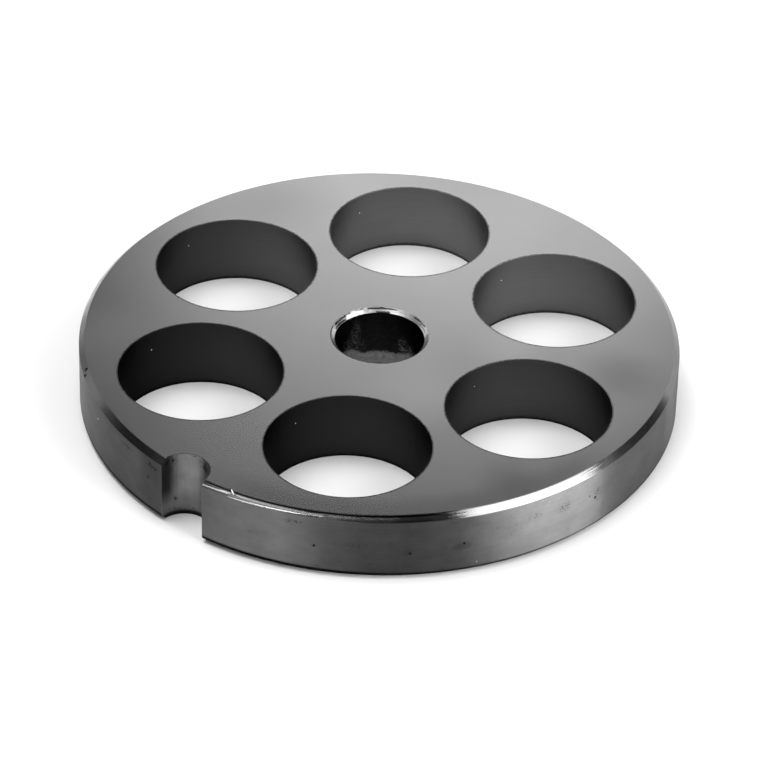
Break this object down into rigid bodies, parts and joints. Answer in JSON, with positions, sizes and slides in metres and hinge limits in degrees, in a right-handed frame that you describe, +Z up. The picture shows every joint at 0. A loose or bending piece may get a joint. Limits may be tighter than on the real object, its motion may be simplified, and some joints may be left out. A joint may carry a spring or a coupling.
{
  "type": "meat grinder plate",
  "caption": "Flat round steel plate with a ring of large through holes, a countersunk centre bore, chamfered rims and a half-round locating notch.",
  "frame": {"origin": "on the plate's axis, in its lower face", "axes": "+Z up the bore's axis; the locating notch is at -Y; a meat hole is at +X"},
  "size_m": [0.07, 0.0699, 0.0085],
  "materials": {
    "ground_steel": "ground faces, turned rim and reamed holes in bare carbon steel"
  },
  "bodies": {
    "root": {"grinder_plate": "ground_steel"}
  },
  "joints": []
}
